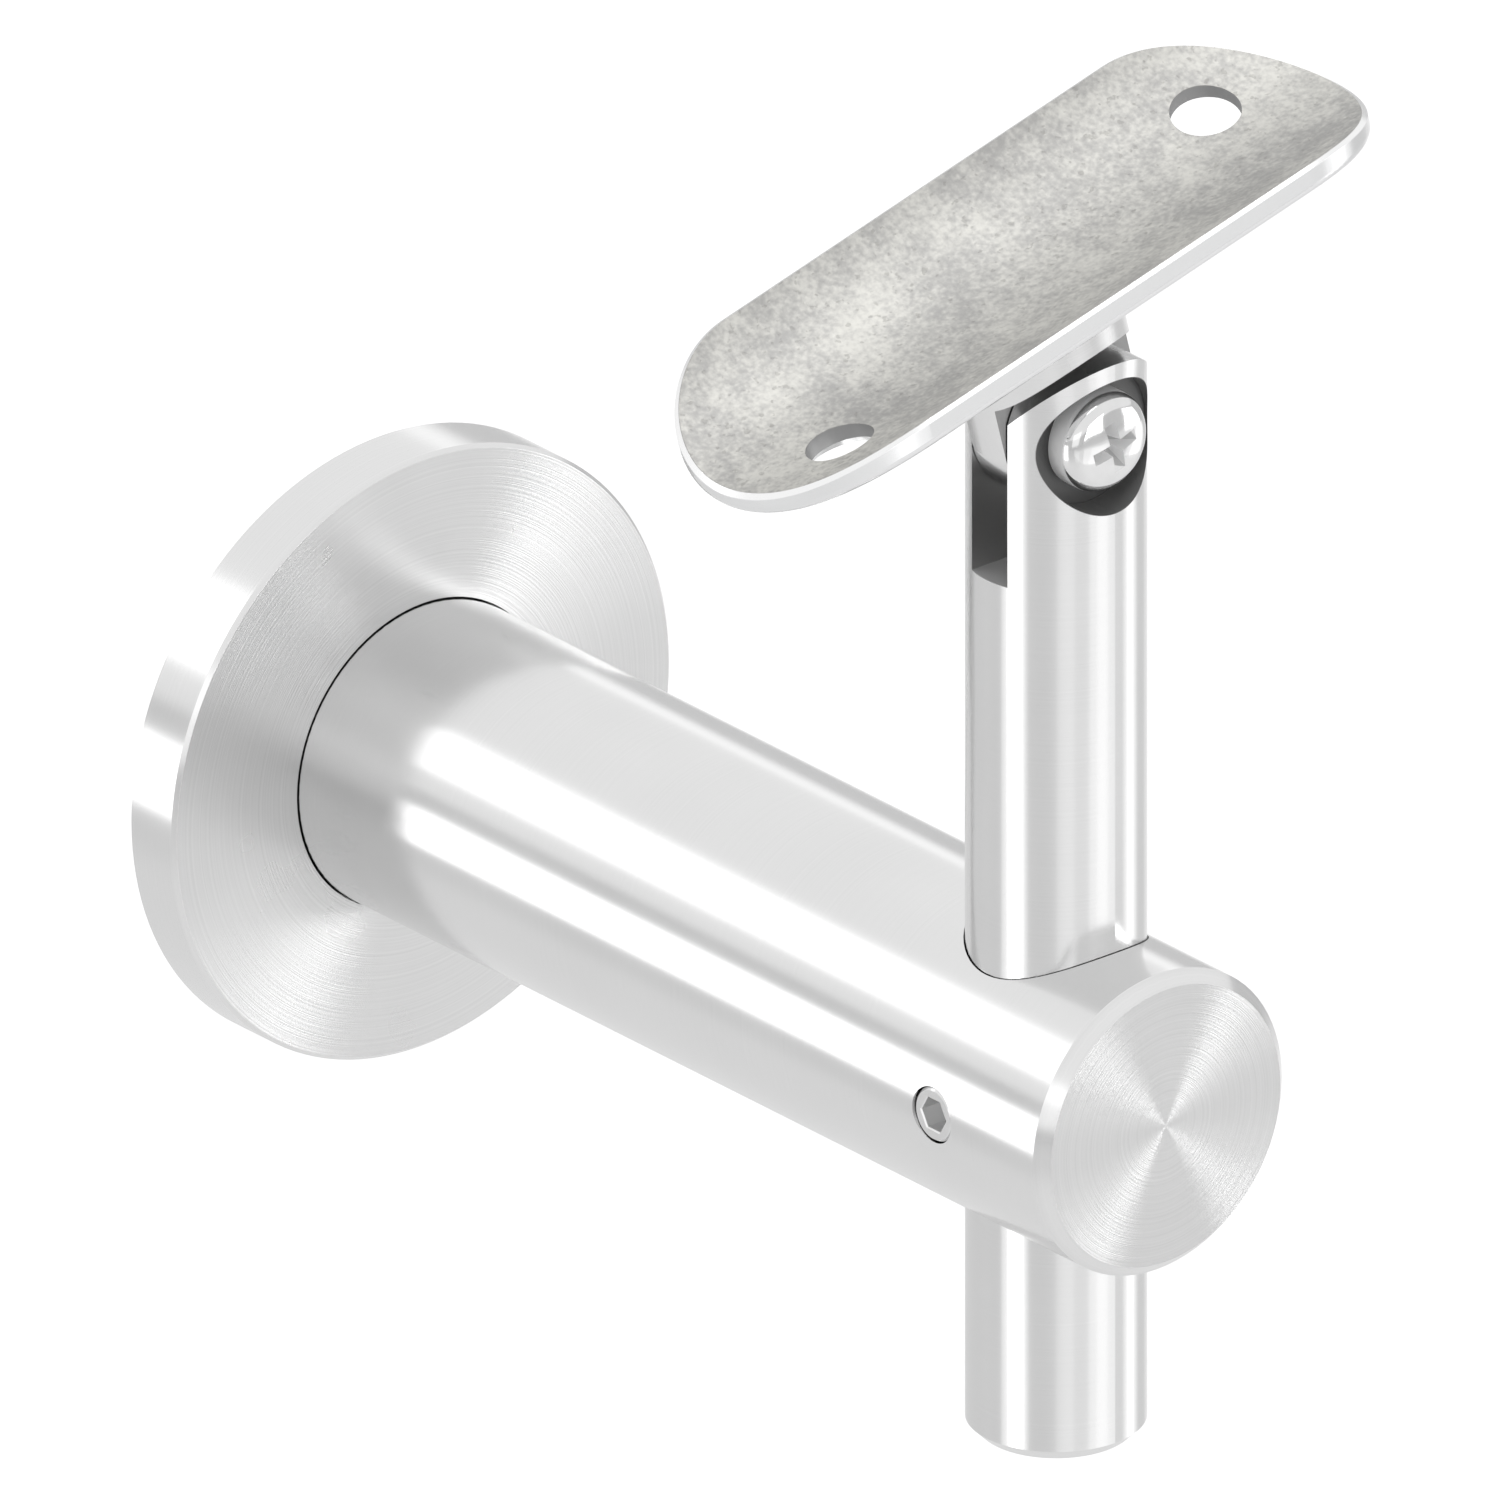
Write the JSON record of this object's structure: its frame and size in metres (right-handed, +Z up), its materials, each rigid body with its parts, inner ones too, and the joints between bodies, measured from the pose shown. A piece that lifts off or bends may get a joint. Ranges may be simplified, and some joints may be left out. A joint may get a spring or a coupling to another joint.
{
  "type": "handrail bracket",
  "caption": "Wall bracket for a round handrail: wall rosette, round arm, height-adjustable post and a tilting curved saddle plate.",
  "frame": {"origin": "centre of the rosette's back face, on the wall, at the mouth of the hole for the wall stud", "axes": "+X points out from the wall along the arm, +Y runs along the wall towards the raised end of the saddle, +Z is up along the post"},
  "size_m": [0.093, 0.0619, 0.1067],
  "materials": {
    "rosette_steel": "turned face with fine concentric brushing",
    "arm_steel": "fine satin brushed round bar with a turned end face",
    "set_screw_steel": "plain bright stainless",
    "post_steel": "fine satin brushed round bar",
    "pivot_screw_steel": "polished stainless screw",
    "neck_steel": "fine satin brushed, milled flats",
    "plate_steel": "tumbled, mottled matt steel with a bright edge"
  },
  "bodies": {
    "wall_arm": {"wall_rosette": "rosette_steel", "arm_bar": "arm_steel", "set_screw": "set_screw_steel"},
    "post": {"height_post": "post_steel", "pivot_screw": "pivot_screw_steel"},
    "saddle": {"saddle_neck": "neck_steel", "saddle_plate": "plate_steel"}
  },
  "joints": [
    {"name": "height_slide", "type": "slide", "parent": "wall_arm", "child": "post", "axis": [0, 0, 1], "range_m": [-0.03, 0.0175]},
    {"name": "saddle_tilt", "type": "hinge", "parent": "post", "child": "saddle", "pos_m": [0.08, 0, 0.05525], "axis": [1, 0, 0], "range_deg": [-84.5, 55.5]}
  ]
}
